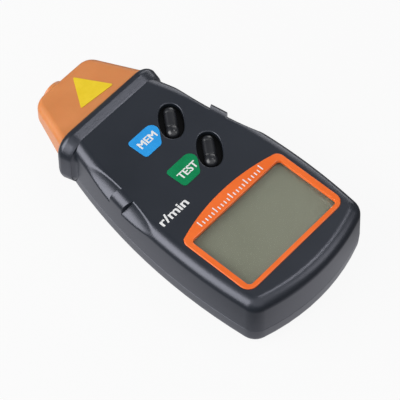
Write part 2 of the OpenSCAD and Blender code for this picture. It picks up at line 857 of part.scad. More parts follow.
module mem_label() { button_label(mem_y, mem_blue); }
module test_label() { button_label(test_y, test_green); }

// Circuit board, wide under the display and narrow between the grips
board_wide = lcd_w + holder_wall + holder_gap + 1;
board_narrow = 19.5;
board_y0 = lcd_y0 - holder_wall - holder_gap - 0.2;
board_step_y = display_y1 + 6.4;
board_y1 = mem_y + 9.4;
board_screw_l = 4;

module circuit_board() {
    points = [
        [-board_wide, board_y0], [board_wide, board_y0], [board_wide, board_step_y],
        [board_narrow, board_step_y], [board_narrow, board_y1], [-board_narrow, board_y1],
        [-board_narrow, board_step_y], [-board_wide, board_step_y]
    ];
    color(board_green) translate([0, 0, board_z0]) difference() {
        linear_extrude(board_t) polygon(points);
        for (p = post_places) translate([p[0], p[1], -1]) cylinder(r = board_screw_r + 0.15, h = board_t + 2);
    }
}

module board_screws() {
    board_head_r = 1.7;
    board_head_h = 1;
    color(steel) for (p = post_places) translate([p[0], p[1], board_z0]) {
        cylinder(r = board_screw_r, h = board_screw_l - 0.2);
        translate([0, 0, -board_head_h]) cylinder(r = board_head_r, h = board_head_h);
    }
}

module controller_chip() {
    chip_w = 10;
    chip_h = 1.4;
    color(gloss_black) translate([-8, test_y + 6, board_z1]) difference() {
        translate([-chip_w / 2, -chip_w / 2, 0]) cube([chip_w, chip_w, chip_h]);
        translate([-chip_w / 2 + 1.5, chip_w / 2 - 1.5, chip_h - 0.2]) cylinder(r = 0.6, h = 1);
    }
}

module crystal_can() {
    can_r = 1.8;
    can_l = 6.4;
    can_h = 2.6;
    color(steel) translate([-8, test_y - 6, board_z1]) linear_extrude(can_h) {
        for (s = [-1, 1]) translate([s * can_l / 2, 0]) circle(can_r);
        square([can_l, 2 * can_r], center = true);
    }
}

module case_screws() {
    color(steel) for (p = screw_places) translate([p[0], p[1], head_seat_z]) difference() {
        union() {
            cylinder(r = screw_r, h = screw_l);
            translate([0, 0, -head_h]) cylinder(r = head_r, h = head_h);
        }
        for (a = [0, 90]) rotate([0, 0, a]) translate([-1.5, -0.3, -head_h - 1]) cube([3, 0.6, 2]);
    }
}

// Block cell, its snap and the wires
terminal_x = 6.35;
plus_r = 2.9;
minus_r = 4.2;
cell_mid_z = cell_z0 + cell_t / 2;
cell_corner = 2;
snap_h = 13;
wire_r = 0.65;

module at_terminal(x, y) {
    translate([x, y, cell_mid_z]) rotate([-90, 0, 0]) children();
}

module block_battery() {
    color([0.55, 0.56, 0.58]) {
        along_y(cell_y0, cell_y1)
            polygon(rounded(box_points(cell_w / 2, cell_z0, cell_z1), [for (i = [0 : 3]) cell_corner]));
        at_terminal(terminal_x, cell_y1) cylinder(r = plus_r, h = terminal_h);
        at_terminal(-terminal_x, cell_y1) cylinder(r = minus_r, h = terminal_h, $fn = 6);
    }
}

module battery_snap() {
    snap_r = 3;
    color(gloss_black) difference() {
        along_y(snap_y0, snap_y1)
            polygon(rounded(
                box_points(cell_w / 2 - 0.5, cell_mid_z - snap_h / 2, cell_mid_z + snap_h / 2),
                [for (i = [0 : 3]) snap_r]
            ));
        at_terminal(terminal_x, snap_y0 - 1) cylinder(r = plus_r + 0.3, h = terminal_h + 1);
        at_terminal(-terminal_x, snap_y0 - 1) cylinder(r = minus_r + 0.3, h = terminal_h + 1);
    }
}

// A wire through a list of points: straight runs with round elbows
module wire(points) {
    for (i = [0 : len(points) - 2]) {
        d = points[i + 1] - points[i];
        translate(points[i]) rotate([0, acos(d[2] / norm(d)), atan2(d[1], d[0])]) cylinder(r = wire_r, h = norm(d));
    }
    for (i = [1 : len(points) - 2]) translate(points[i]) sphere(wire_r);
}

module battery_leads() {
    y0 = (snap_y0 + snap_y1) / 2;
    z0 = cell_mid_z + snap_h / 2;
    y1 = bay_y1 + bay_wall + 3;
    for (x = [-3, 3]) color(x < 0 ? [0.1, 0.1, 0.1] : [0.7, 0.1, 0.1])
        wire([[x, y0, z0], [x, y0, lead_z], [x, y1, lead_z], [x, y1, board_z0]]);
}

// Optics behind the nose
holder_y0 = flange_y0 + 0.3;
holder_y1 = holder_y0 + holder_t;
tube_r0 = lens_r - 0.4;
sleeve_r0 = laser_r + 0.1;
laser_y0 = holder_y0;
sensor_r = 2.5;
sensor_l = 5.6;
sensor_board_h = 2 * lens_r;
sensor_board_inset = 3;
lead_pitch = 2;
lead_x = receiver_x - 3.2;
lead_inset = 2;
sensor_lead_z = optics_z + lead_pitch;

module optics_holder() {
    g = nose_gap + nose_wall;
    color(gloss_black) difference() {
        union() {
            along_y(holder_y0, holder_y1) polygon(neck_points(-g));
            optics_bore(receiver_x, tube_r0 + tube_wall, holder_y0, rim_y0);
            optics_bore(laser_x, sleeve_r0 + tube_wall, holder_y0, holder_y0 + laser_l - 2);
        }
        optics_bore(receiver_x, tube_r0, holder_y1, rim_y0 + 1);
        optics_bore(receiver_x, sensor_r + 0.1, holder_y0 - 1, holder_y1 + 1);
        optics_bore(laser_x, sleeve_r0, holder_y0 - 1, rim_y0);
    }
}

module photo_sensor() {
    color(lens_clear) {
        optics_bore(receiver_x, sensor_r, holder_y0, holder_y0 + sensor_l - sensor_r);
        translate([receiver_x, holder_y0 + sensor_l - sensor_r, optics_z]) sphere(sensor_r);
    }
}

module sensor_board() {
    color(board_green) along_y(holder_y0 - sensor_board_t, holder_y0)
        polygon(box_points(neck_w - nose_wall - sensor_board_inset, optics_z - sensor_board_h / 2,
            optics_z + sensor_board_h / 2));
}

module sensor_leads() {
    y0 = holder_y0 - sensor_board_t;
    y1 = board_y1 - lead_inset;
    z = sensor_lead_z;
    color(rubber_grey) for (x = [lead_x - lead_pitch, lead_x, lead_x + lead_pitch])
        wire([[x, y0, z], [x, y1, z], [x, y1, board_z0]]);
}

laser_lens_r = 2;
laser_mouth = 3;

module laser_barrel() {
    color(brass) difference() {
        optics_bore(laser_x, laser_r, laser_y0, laser_y0 + laser_l);
        optics_bore(laser_x, laser_lens_r + 0.05, laser_y0 + laser_l - laser_mouth, laser_y0 + laser_l + 1);
    }
}

// A lens with one flat face at y and its crown toward the nose
module lens(x, y, r, rim_t, t) {
    rise = t - rim_t;
    crown_r = (r * r + rise * rise) / (2 * rise);
    translate([x, y, optics_z]) rotate([-90, 0, 0]) rotate_extrude() intersection() {
        square([r, t]);
        translate([0, t - crown_r]) circle(crown_r, $fn = 180);
    }
}

module receiver_lens() {
    color(lens_clear) lens(receiver_x, lens_seat_y, lens_r, 1.6, lens_t);
}

module laser_lens() {
    color(lens_clear) lens(laser_x, laser_y0 + laser_l - laser_mouth, laser_lens_r, 1, 1.8);
}

top_shell();
bottom_shell();
battery_door();
nose_cap();
nose_sticker();
display_bezel();
display_window();
lcd_panel();
lcd_holder();
zebra_strips();
mem_button();
test_button();
mem_plunger();
test_plunger();
mem_switch();
test_switch();
mem_label();
test_label();
circuit_board();
controller_chip();
crystal_can();
block_battery();
battery_snap();
battery_leads();
optics_holder();
receiver_lens();
photo_sensor();
sensor_board();
sensor_leads();
laser_barrel();
laser_lens();
case_screws();
board_screws();
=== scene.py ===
# %% [markdown]
# # A hand-held laser tachometer
# The real object is a black moulded case with an amber optics nose in front, an orange
# frame round its display and two small black buttons beside coloured labels.
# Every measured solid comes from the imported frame, so the first cell only loads it.
# Pieces that need finer curves than a measured solid has are rebuilt here on the same sizes.

# %% Load the measured frame
import math
import bpy
import bmesh
import numpy as np
from mathutils import Matrix, Vector


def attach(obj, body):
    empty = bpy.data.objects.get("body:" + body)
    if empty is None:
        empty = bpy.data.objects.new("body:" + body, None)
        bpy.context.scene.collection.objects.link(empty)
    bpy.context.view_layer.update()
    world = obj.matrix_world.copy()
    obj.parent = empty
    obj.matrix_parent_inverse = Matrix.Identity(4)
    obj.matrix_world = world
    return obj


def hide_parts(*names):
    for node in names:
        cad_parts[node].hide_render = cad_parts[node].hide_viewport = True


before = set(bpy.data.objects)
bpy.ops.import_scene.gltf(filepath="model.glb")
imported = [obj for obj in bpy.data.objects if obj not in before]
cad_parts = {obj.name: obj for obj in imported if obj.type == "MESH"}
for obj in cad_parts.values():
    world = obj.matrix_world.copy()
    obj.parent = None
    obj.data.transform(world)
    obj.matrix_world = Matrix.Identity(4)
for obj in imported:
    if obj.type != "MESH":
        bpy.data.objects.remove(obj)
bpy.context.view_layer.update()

scene = bpy.context.scene

# %% [markdown]
# ## Camera
# The photograph looks down at the display from behind and to the left, with a long lens.
# A camera is easiest to place from three axes: right, up and back. The back axis points from
# the object to the camera, so the camera stands on it at the distance that the lens needs.

# %% Camera at the photograph's angle
MM = 0.001
camera_azimuth = math.radians(-48.02)
camera_elevation = math.radians(56.25)
camera_target = Vector((0.0, -0.565, 14.0)) * MM
camera_distance = 956.1 * MM

axis_right = Vector((math.cos(camera_azimuth), math.sin(camera_azimuth), 0))
axis_back = Vector((
    math.sin(camera_azimuth) * math.cos(camera_elevation),
    -math.cos(camera_azimuth) * math.cos(camera_elevation),
    math.sin(camera_elevation),
))
axis_up = axis_back.cross(axis_right)

lens_data = bpy.data.cameras.new("photo_camera")
lens_data.sensor_fit = "HORIZONTAL"
lens_data.angle = math.radians(9.58)
lens_data.shift_x = 0.0289
lens_data.shift_y = -0.0380
lens_data.clip_start = 0.05
camera = bpy.data.objects.new("photo_camera", lens_data)
camera.matrix_world = Matrix((
    (axis_right.x, axis_up.x, axis_back.x, 0),
    (axis_right.y, axis_up.y, axis_back.y, 0),
    (axis_right.z, axis_up.z, axis_back.z, 0),
    (0, 0, 0, 1),
))
camera.location = camera_target + axis_back * camera_distance
scene.collection.objects.link(camera)
scene.camera = camera
scene.view_settings.view_transform = "Standard"
print("camera at", [round(c, 4) for c in camera.location])

# %% [markdown]
# ## Making meshes
# Most pieces here are lofts: a stack of rings with the same number of points, joined by
# quads. Openings are cut with the Boolean modifier, whose result is baked at once, so that
# no cutter stays in the scene. Smooth shading with a sharp-edge angle keeps real edges crisp,
# and weighted normals let the large flat faces win, so a rolled edge doesn't bend their shading.

# %% Loft, cut and shade helpers
def mesh_piece(name, points_mm, faces):
    mesh = bpy.data.meshes.new(name)
    mesh.from_pydata([tuple(float(c) * MM for c in p) for p in points_mm], [], faces)
    work = bmesh.new()
    work.from_mesh(mesh)
    bmesh.ops.recalc_face_normals(work, faces=work.faces)
    work.to_mesh(mesh)
    work.free()
    piece = bpy.data.objects.new(name, mesh)
    scene.collection.objects.link(piece)
    return piece


def loft(name, rings):
    count = len(rings[0])
    faces = []
    for level in range(len(rings) - 1):
        low, high = level * count, (level + 1) * count
        for i in range(count):
            j = (i + 1) % count
            faces.append((low + i, low + j, high + j, high + i))
    faces.append(tuple(range(count)))
    faces.append(tuple((len(rings) - 1) * count + i for i in range(count)))
    return mesh_piece(name, np.vstack(rings), faces)


def bake(piece):
    graph = bpy.context.evaluated_depsgraph_get()
    baked = bpy.data.meshes.new_from_object(piece.evaluated_get(graph))
    piece.modifiers.clear()
    before = piece.data
    piece.data = baked
    bpy.data.meshes.remove(before)
    return piece


def carve(target, tool, operation="DIFFERENCE"):
    cut = target.modifiers.new("carve", "BOOLEAN")
    cut.operation = operation
    cut.solver = "MANIFOLD"
    cut.object = tool
    bake(target)
    bpy.data.objects.remove(tool, do_unlink=True)
    return target


def shade(piece, angle=32):
    piece.data.shade_smooth()
    piece.data.set_sharp_from_angle(angle=math.radians(angle))
    weigh = piece.modifiers.new("weigh", "WEIGHTED_NORMAL")
    weigh.keep_sharp = True
    return bake(piece)


def place(piece, body, slot, material, *nodes):
    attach(piece, body)
    if nodes:
        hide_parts(*nodes)
    piece.data.materials.clear()
    piece.data.materials.append(material)
    print(piece.name, "faces:", len(piece.data.polygons))
    return piece


print("mesh helpers ready, working in steps of", MM, "m")

# %% [markdown]
# ## Moulded plastics
# A moulded part is never one flat colour. Its tint drifts a little, its gloss varies where it
# was handled, and a fine spark-eroded grain breaks up reflections. One helper makes them all:
# noise drives a small colour ramp, a roughness range and a very low bump.

# %% A helper for moulded finishes
def node(tree, kind, **settings):
    made = tree.nodes.new(kind)
    for name, value in settings.items():
        setattr(made, name, value)
    return made


def moulded(name, dark, light, rough=(0.35, 0.45), patch=60.0, grain=2600.0, bump=0.04, **sockets):
    material = bpy.data.materials.new(name)
    material.use_nodes = True
    tree = material.node_tree
    shader = tree.nodes["Principled BSDF"]
    place_at = node(tree, "ShaderNodeTexCoord")
    drift = node(tree, "ShaderNodeTexNoise")
    drift.inputs["Scale"].default_value = patch
    drift.inputs["Detail"].default_value = 4
    tint = node(tree, "ShaderNodeValToRGB")
    tint.color_ramp.elements[0].position = 0.3
    tint.color_ramp.elements[0].color = (*dark, 1)
    tint.color_ramp.elements[1].position = 0.7
    tint.color_ramp.elements[1].color = (*light, 1)
    gloss = node(tree, "ShaderNodeMapRange")
    gloss.inputs["To Min"].default_value = rough[0]
    gloss.inputs["To Max"].default_value = rough[1]
    fine = node(tree, "ShaderNodeTexNoise")
    fine.inputs["Scale"].default_value = grain
    fine.inputs["Detail"].default_value = 2
    relief = node(tree, "ShaderNodeBump")
    relief.inputs["Strength"].default_value = bump
    relief.inputs["Distance"].default_value = 0.0002
    tree.links.new(place_at.outputs["Object"], drift.inputs["Vector"])
    tree.links.new(place_at.outputs["Object"], fine.inputs["Vector"])
    tree.links.new(drift.outputs["Fac"], tint.inputs["Fac"])
    tree.links.new(tint.outputs["Color"], shader.inputs["Base Color"])
    tree.links.new(drift.outputs["Fac"], gloss.inputs["Value"])
    tree.links.new(gloss.outputs["Result"], shader.inputs["Roughness"])
    tree.links.new(fine.outputs["Fac"], relief.inputs["Height"])
    tree.links.new(relief.outputs["Normal"], shader.inputs["Normal"])
    for socket, value in sockets.items():
        shader.inputs[socket.replace("_", " ")].default_value = value
    return material


case_plastic = moulded(
    "case_plastic", (0.0095, 0.0130, 0.0180), (0.0125, 0.0165, 0.0225), (0.30, 0.36), 35, 1900, 0.06,
    Specular_IOR_Level=1.0, Specular_Tint=(0.86, 0.87, 1.0, 1),
)
inner_plastic = moulded("inner_plastic", (0.014, 0.014, 0.015), (0.022, 0.022, 0.024), (0.45, 0.6), 50)
amber_plastic = moulded(
    "amber_plastic", (0.65, 0.232, 0.072), (0.73, 0.272, 0.092), (0.28, 0.36), 70, 2200, 0.05,
    Subsurface_Weight=0.15, Subsurface_Scale=0.002,
)
orange_plastic = moulded(
    "orange_plastic", (0.90, 0.155, 0.022), (0.98, 0.185, 0.032), (0.22, 0.30), 60, 2000, 0.03,
)
button_plastic = moulded(
    "button_plastic", (0.014, 0.015, 0.018), (0.018, 0.019, 0.023), (0.27, 0.32), 120, 2400, 0.005,
    Specular_IOR_Level=0.8,
)
print("plastics ready")

# %% [markdown]
# ## The plan outline of the case
# Seen from above, the case is bounded by two long side arcs, a flatter rear arc and two corner
# arcs tangent to both. Working with arcs has a benefit: drawing the outline in by an inset only
# shortens each radius, so every level of the rounded edge is an exact offset of the first.

# %% Outline arcs of the case
case_top, parting_z = 28.0, 10.0
rear_y, collar_rear_y, collar_crest_y, collar_front_y = -70.6, 38.65, 43.05, 46.45
body_half, front_half, widest_y = 35.0, 24.95, -31.2
rear_r, corner_r, edge_r, lean = 88.4, 7.8, 5.0, 0.04
wall, seam = 2.0, 0.15

bulge = body_half - front_half
side_r = ((collar_rear_y - widest_y) ** 2 + bulge ** 2) / (2 * bulge)
side_c = np.array([body_half - side_r, widest_y])
rear_c = np.array([0.0, rear_y + rear_r])


def circles_meet(c1, r1, c2, r2):
    span = np.linalg.norm(c2 - c1)
    along = (r1 ** 2 - r2 ** 2 + span ** 2) / (2 * span)
    off = math.sqrt(r1 ** 2 - along ** 2)
    e = (c2 - c1) / span
    return c1 + along * e + off * np.array([e[1], -e[0]])


corner_c = circles_meet(side_c, side_r - corner_r, rear_c, rear_r - corner_r)
side_start = math.atan2(*(corner_c - side_c)[::-1])
rear_end = math.atan2(*(corner_c - rear_c)[::-1])


def case_ring(z, inset, y_front, steps):
    inset = inset + lean * abs(z - parting_z)
    front = math.asin((y_front - widest_y) / (side_r - inset))
    spans = [
        (rear_c, rear_r, -math.pi / 2, rear_end, steps[0]),
        (corner_c, corner_r, rear_end, side_start, steps[1]),
        (side_c, side_r, side_start, front, steps[2]),
    ]
    points, normals = [], []
    for k, (centre, radius, a0, a1, n) in enumerate(spans):
        angles = np.linspace(a0, a1, n + 1)[(1 if k else 0):]
        facing = np.stack([np.cos(angles), np.sin(angles)], 1)
        points.append(centre + (radius - inset) * facing)
        normals.append(facing)
    right, facing = np.vstack(points), np.vstack(normals)
    left = right[:0:-1] * [-1, 1]
    ring = np.vstack([right, left])
    facing = np.vstack([facing, facing[:0:-1] * [-1, 1]])
    return np.column_stack([ring, np.full(len(ring), z)]), facing


outline_check, _ = case_ring(parting_z, 0, collar_crest_y, (8, 8, 30))
print("outline width", round(float(np.ptp(outline_check[:, 0])), 2), "mm")

# %% [markdown]
# ## Grip hollows
# Thumb and finger sit in a long shallow hollow in each upper edge. A Boolean cut would leave a
# knife edge all round it. Here each point of the dense case mesh instead sinks along its own
# normal until it meets a bowed spindle, and a smooth maximum rounds the rim by half a millimetre.

# %% Sink the grip hollows into the case mesh
grip_y, grip_out, grip_up, grip_r, grip_bow = 9.55, 8.0, 4.2, 13.85, 114.0
grip_axis_z = case_top + grip_up
grip_x = side_c[0] + math.sqrt(side_r ** 2 - (grip_y - widest_y) ** 2)
grip_turn = math.asin((grip_y - widest_y) / side_r)


def grip_local(points):
    dx, dy = np.abs(points[:, 0]) - grip_x, points[:, 1] - grip_y
    c, s = math.cos(grip_turn), math.sin(grip_turn)
    return c * dx + s * dy, c * dy - s * dx, points[:, 2]


def outside_spindle(points):
    across, along, z = grip_local(points)
    reach = np.hypot(across - grip_out, z - grip_axis_z)
    return np.hypot(reach - (grip_r - grip_bow), along) - grip_bow


def sink_grips(points, normals, rim=0.5):
    def gap(depth):
        a, b = -depth, -outside_spindle(points - normals * depth[:, None])
        near = np.maximum(rim - np.abs(a - b), 0) / rim
        return np.maximum(a, b) + near * near * rim / 4

    low, high = np.zeros(len(points)), np.full(len(points), 9.0)
    sinks = gap(low) > 0
    for _ in range(36):
        middle = (low + high) / 2
        above = gap(middle) > 0
        low, high = np.where(above, middle, low), np.where(above, high, middle)
    depth = np.where(sinks, (low + high) / 2, 0)
    return points - normals * depth[:, None], depth


print("grip axis", round(float(grip_x) + grip_out, 2), "mm out and", grip_axis_z, "mm up")

# %% [markdown]
# ## Upper half of the case
# The shell rises from the parting line with a slight lean, and a quarter circle rolls its wall
# over into the flat face. It is lofted level by level, with the levels close together where a
# hollow will reach, because the sinking needs points to move. A few more rings on the flat face
# keep the rim of the hollow round there too.

# %% Upper half of the case
dense = (36, 26, 190)
turns = np.linspace(0, math.pi / 2, 25)
wall_levels = (13, 16, 18.4, 19.6, 20.2, 20.8, 21.4, 22.0, 22.5)
face_step, face_rings = 0.4, 5
levels = [(parting_z, seam, 0), (parting_z + seam, 0, 0)]
levels += [(z, 0, 0) for z in wall_levels]
levels += [(case_top - edge_r + edge_r * math.sin(t), edge_r * (1 - math.cos(t)), t) for t in turns]
levels += [(case_top, edge_r + face_step * k, math.pi / 2) for k in range(1, face_rings + 1)]

plain_rings, rings, deepest = [], [], 0
for z, inset, tilt in levels:
    ring, facing = case_ring(z, inset, collar_crest_y, dense)
    plain_rings.append(ring)
    normals = np.column_stack([facing * math.cos(tilt), np.full(len(facing), math.sin(tilt))])
    ring, depth = sink_grips(ring, normals)
    deepest = max(deepest, float(depth.max()))
    rings.append(ring)
upper_case = loft("upper_case", rings)
print("grip hollow depth", round(deepest, 2), "mm")

# %% [markdown]
# ## Bridges
# A bridge of the untouched edge parts each hollow at its middle. It is the plain case again,
# kept only inside a slanted slab, and joined to the hollowed one. Its end faces stand square in
# the hollow, so each shows as a dark wedge beside the light that runs along the edge.

# %% A bridge across each hollow
bridge_half, bridge_slant, bridge_x = 3.5, math.radians(22), -2.7
slab_half, slab_z = 9.0, (16, 30)


def to_case(local, side):
    c, s = math.cos(grip_turn), math.sin(grip_turn)
    x = grip_x + c * local[:, 0] - s * local[:, 1]
    y = grip_y + s * local[:, 0] + c * local[:, 1]
    return np.column_stack([side * x, y, local[:, 2]])


def bridge_slab(name, side):
    c, s = math.cos(bridge_slant), math.sin(bridge_slant)
    u, v = slab_half, bridge_half
    corners = ((-u, -v), (u, -v), (u, v), (-u, v))
    local = [(bridge_x + c * u - s * v, s * u + c * v) for u, v in corners]
    return loft(name, [to_case(np.array([(x, y, z) for x, y in local]), side) for z in slab_z])


for side in (-1, 1):
    bridge = loft("bridge", plain_rings)
    carve(bridge, bridge_slab("slab", side), "INTERSECT")
    carve(upper_case, bridge, "UNION")
print("bridged case:", len(upper_case.data.polygons), "faces")

# %% [markdown]
# ## Rings of the collar
# A raised collar ends the case where the nose begins. Seen along the case it is a rectangle
# with large round corners, and each step along it is the same rectangle drawn in a little. One
# helper gives such a ring, and the nose will use it too.

# %% Rings of the collar
def cross_ring(y, half, z0, z1, upper_r, lower_r, n=14):
    points = []
    corners = [
        (half, z1, 0, upper_r), (-half, z1, 90, upper_r),
        (-half, z0, 180, lower_r), (half, z0, 270, lower_r),
    ]
    for x, z, start, radius in corners:
        cx, cz = x - math.copysign(radius, x), z - (radius if z == z1 else -radius)
        for a in np.radians(np.linspace(start, start + 90, n + 1)):
            points.append((cx + radius * math.cos(a), y, cz + radius * math.sin(a)))
    return np.array(points)


collar_half, collar_low, collar_high = 28.05, 0.4, 29.0
collar_upper_r, collar_lower_r = 9.0, 10.4


def collar_ring(y, inset):
    half, z0, z1 = collar_half - inset, collar_low + inset, collar_high - inset
    return cross_ring(y, half, z0, z1, collar_upper_r - inset, collar_lower_r - inset)


print("collar width", 2 * collar_half, "mm")

# %% [markdown]
# ## Fillet behind the collar
# A mould leaves no sharp inner corner where the side of the case meets the collar. A hollow arc
# leads from one to the other. It starts just under the side and follows its lean and its
# narrowing, so that it comes out of the surface without a line.

# %% Fillet behind the collar
flare_l, flare_sunk, start_inset, flare_turn = 3.2, 0.1, 1.45, math.radians(60)
flare_y = collar_rear_y - flare_l
side_reach = math.sqrt(side_r ** 2 - (flare_y - widest_y) ** 2)
flare_deep = collar_half - side_c[0] - side_reach + flare_sunk - start_inset
narrowing = (flare_y - widest_y) / side_reach
flare = []
for t in np.linspace(0, flare_turn, 9)[:-1]:
    share = (math.cos(t) - math.cos(flare_turn)) / (1 - math.cos(flare_turn))
    along = flare_l * math.sin(t) / math.sin(flare_turn)
    ring = collar_ring(flare_y + along, start_inset + (flare_deep + narrowing * along) * share)
    ring[:, 0] -= np.sign(ring[:, 0]) * lean * np.abs(ring[:, 2] - parting_z) * share
    flare.append(ring)
print("fillet rings:", len(flare), "and depth", round(float(flare_deep), 2), "mm")

# %% [markdown]
# ## The collar
# From the fillet the collar climbs a short ramp, then turns over in a round lip. All of it is
# one loft along the case. Only the half above the parting line belongs to this shell, so the
# rest is cut away before the two are joined.

# %% Collar of the upper half
crease_r, ramp_l, ramp_inset, lip_r, front_lap = 0.35, 4.4, 1.1, 3.4, 0.02
seam_half = 0.08


def block(name, low, high):
    x0, y0, z0 = low
    x1, y1, z1 = high
    base = [(x0, y0), (x1, y0), (x1, y1), (x0, y1)]
    return loft(name, [np.array([(x, y, z) for x, y in base]) for z in (z0, z1)])


crease = [
    collar_ring(collar_rear_y + crease_r * (1 - math.cos(t)), start_inset - crease_r * math.sin(t))
    for t in turns[::4]
]
ramp = [collar_ring(collar_rear_y + ramp_l * k, ramp_inset * (1 - k)) for k in (0.14, 0.3, 0.65, 0.94, 1)]
lip = [collar_ring(collar_crest_y + lip_r * math.sin(t), lip_r * (1 - math.cos(t))) for t in turns[1::2]]
front = [collar_ring(collar_front_y, lip_r + front_lap)]
collar = loft("collar_upper", flare + crease + ramp + lip + front)
carve(collar, block("below_seam", (-50, 20, -5), (50, 60, parting_z + seam_half)))
carve(upper_case, collar, "UNION")
print("case and collar joined:", len(upper_case.data.polygons), "faces")

# %% [markdown]
# ## Hollowing the shell
# The shell has two-millimetre walls, thicker where the grips push in. The inner space is its
# own coarse loft. The grips, grown by a wall, are taken out of it first, so what is left
# never breaks through.

# %% Inner space of the upper half
spindle_half, cavity_r, cavity_front_y, coarse = 23, 3, collar_rear_y + 1.5, (8, 8, 40)


def spindle(name, grow, side):
    around = np.linspace(0, 2 * math.pi, 48, endpoint=False)
    rings = []
    for along in np.linspace(-spindle_half, spindle_half, 31):
        r = grip_r + grow - grip_bow + math.sqrt(grip_bow ** 2 - along ** 2)
        local = np.column_stack([
            grip_out + r * np.cos(around), np.full(len(around), along), grip_axis_z + r * np.sin(around),
        ])
        rings.append(to_case(local, side))
    return loft(name, rings)


cavity_levels = [(parting_z - 1, wall)] + [
    (case_top - wall - cavity_r + cavity_r * math.sin(t), wall + cavity_r * (1 - math.cos(t)))
    for t in turns[::4]
]
cavity = loft("cavity", [case_ring(z, inset, cavity_front_y, coarse)[0] for z, inset in cavity_levels])
for side in (-1, 1):
    carve(cavity, spindle("grip_back", wall, side))
carve(upper_case, cavity)
print("shell hollowed:", len(upper_case.data.polygons), "faces")

# %% [markdown]
# ## Openings in the display face
# The orange frame drops into a shallow recess with an arched front edge, and the window opening
# goes right through. Outlines with rounded corners come from one helper, which replaces each
# corner by an arc that is tangent to both of its sides.

# %% Display outlines and recess
def rounded(points, radii, n=10):
    out = []
    for i, r in enumerate(radii):
        p, c, q = (np.array(points[(i + k) % len(points)], float) for k in (-1, 0, 1))
        if r == 0:
            out.append(c)
            continue
        u, v = (p - c) / np.linalg.norm(p - c), (q - c) / np.linalg.norm(q - c)
        angle = math.acos(float(u @ v))
        middle = c + (u + v) / np.linalg.norm(u + v) * r / math.sin(angle / 2)
        first = c + u * r / math.tan(angle / 2) - middle
        start = math.atan2(first[1], first[0])
        arc = np.linspace(start, start + math.pi - angle, n + 1)
        out += [middle + r * np.array([math.cos(a), math.sin(a)]) for a in arc]
    return np.array(out)


frame_half, frame_y0, frame_y1, frame_arch = 28.55, -57.6, -22.9, 4.5
frame_z0, frame_z1, frame_rear_r, frame_front_r = 26.8, 28.4, 4.6, 3.4
window_half, window_y0, window_y1, window_r = 25.95, -55.5, -25.4, 1.8


def frame_outline(inset):
    half, y0, y1 = frame_half - inset, frame_y0 + inset, frame_y1 - inset
    r = (half ** 2 + frame_arch ** 2) / (2 * frame_arch)
    reach = math.asin(half / r)
    sweep = np.linspace(math.pi / 2 - reach, math.pi / 2 + reach, 42)[1:-1]
    arch = [(r * math.cos(a), y1 + frame_arch - r + r * math.sin(a)) for a in sweep]
    corners = [(-half, y0), (half, y0), (half, y1)] + arch + [(-half, y1)]
    rear, front = frame_rear_r - inset, frame_front_r - inset
    return rounded(corners, [rear, rear, front] + [0] * len(arch) + [front])


def window_outline(grow):
    half, y0, y1 = window_half + grow, window_y0 - grow, window_y1 + grow
    return rounded([(-half, y0), (half, y0), (half, y1), (-half, y1)], [window_r + grow] * 4)


def at_height(outline, z):
    return np.column_stack([outline, np.full(len(outline), z)])


frame_gap, opening_grow, opening_z0, cutter_top = 0.05, 0.75, 23, 31
recess = frame_outline(-frame_gap)
carve(upper_case, loft("recess", [at_height(recess, z) for z in (frame_z0, cutter_top)]))
opening = window_outline(opening_grow)
carve(upper_case, loft("opening", [at_height(opening, z) for z in (opening_z0, cutter_top)]))
print("recess", np.round(np.ptp(recess, axis=0), 1), "mm")

# %% [markdown]
# ## Button wells
# Each button lies in an oval well, slanted across the face. The oval is fuller than an ellipse,
# and its rim is rolled over, which catches the light as a thin line. The cutter carries that
# rolled rim in its own profile.

# %% Button wells
button_places = {"mem": (11.4, 18.91), "test": (11.4, -1.68)}
button_turn = math.radians(50)


def oval(length, width, z, centre, n=96):
    a = np.linspace(0, 2 * math.pi, n, endpoint=False)
    x = length / 2 * np.sign(np.cos(a)) * np.abs(np.cos(a)) ** 0.85
    y = width / 2 * np.sign(np.sin(a)) * np.abs(np.sin(a)) ** 0.85
    c, s = math.cos(button_turn), math.sin(button_turn)
    return np.column_stack([centre[0] + c * x - s * y, centre[1] + s * x + c * y, np.full(n, z)])


well_l, well_w, well_z0, well_rim = 17.2, 10.2, 25, 0.55
well_profile = [(well_z0, 0)]
well_profile += [
    (case_top - well_rim + well_rim * math.sin(t), well_rim * (1 - math.cos(t))) for t in turns[::4]
]
well_profile += [(28.6, well_rim + 0.02)]
for centre in button_places.values():
    rings = [oval(well_l + 2 * g, well_w + 2 * g, z, centre) for z, g in well_profile]
    carve(upper_case, loft("well", rings))
print("wells", well_l, "by", well_w, "mm")

# %% [markdown]
# ## Opening for the nose
# The nose ends in a neck that slides into the front of the case. The opening is the same rounded
# block as the neck, grown by a small gap. With it the upper half is complete and can be shaded.

# %% Nose opening of the upper half
neck_half, neck_z0, neck_z1, neck_gap = 21.55, 9.3, 23.8, 0.15
neck_upper_r, neck_lower_r = 4, 0.8


def neck_block(name, grow, y0, y1):
    half, z0, z1 = neck_half + grow, neck_z0 - grow, neck_z1 + grow
    return loft(name, [cross_ring(y, half, z0, z1, neck_upper_r + grow, neck_lower_r) for y in (y0, y1)])


carve(upper_case, neck_block("neck_cut", neck_gap, 38, 50))
shade(upper_case, 30)
place(upper_case, "case", "case_plastic", case_plastic, "top_shell")

# %% [markdown]
# ## Lower half and battery door
# These two are exact enough as they were measured. Their flat facets only need welding and
# smooth shading, so the mesh of the measured node is copied into a new piece, and the copy
# drops the faceted normals that came with it. The lower half also gets its share of the
# fillet behind the collar, as a small wedge on each side, and the ends of the two door rails
# are trimmed to the rounded rear edge, with the plain outline of the case as the limit.

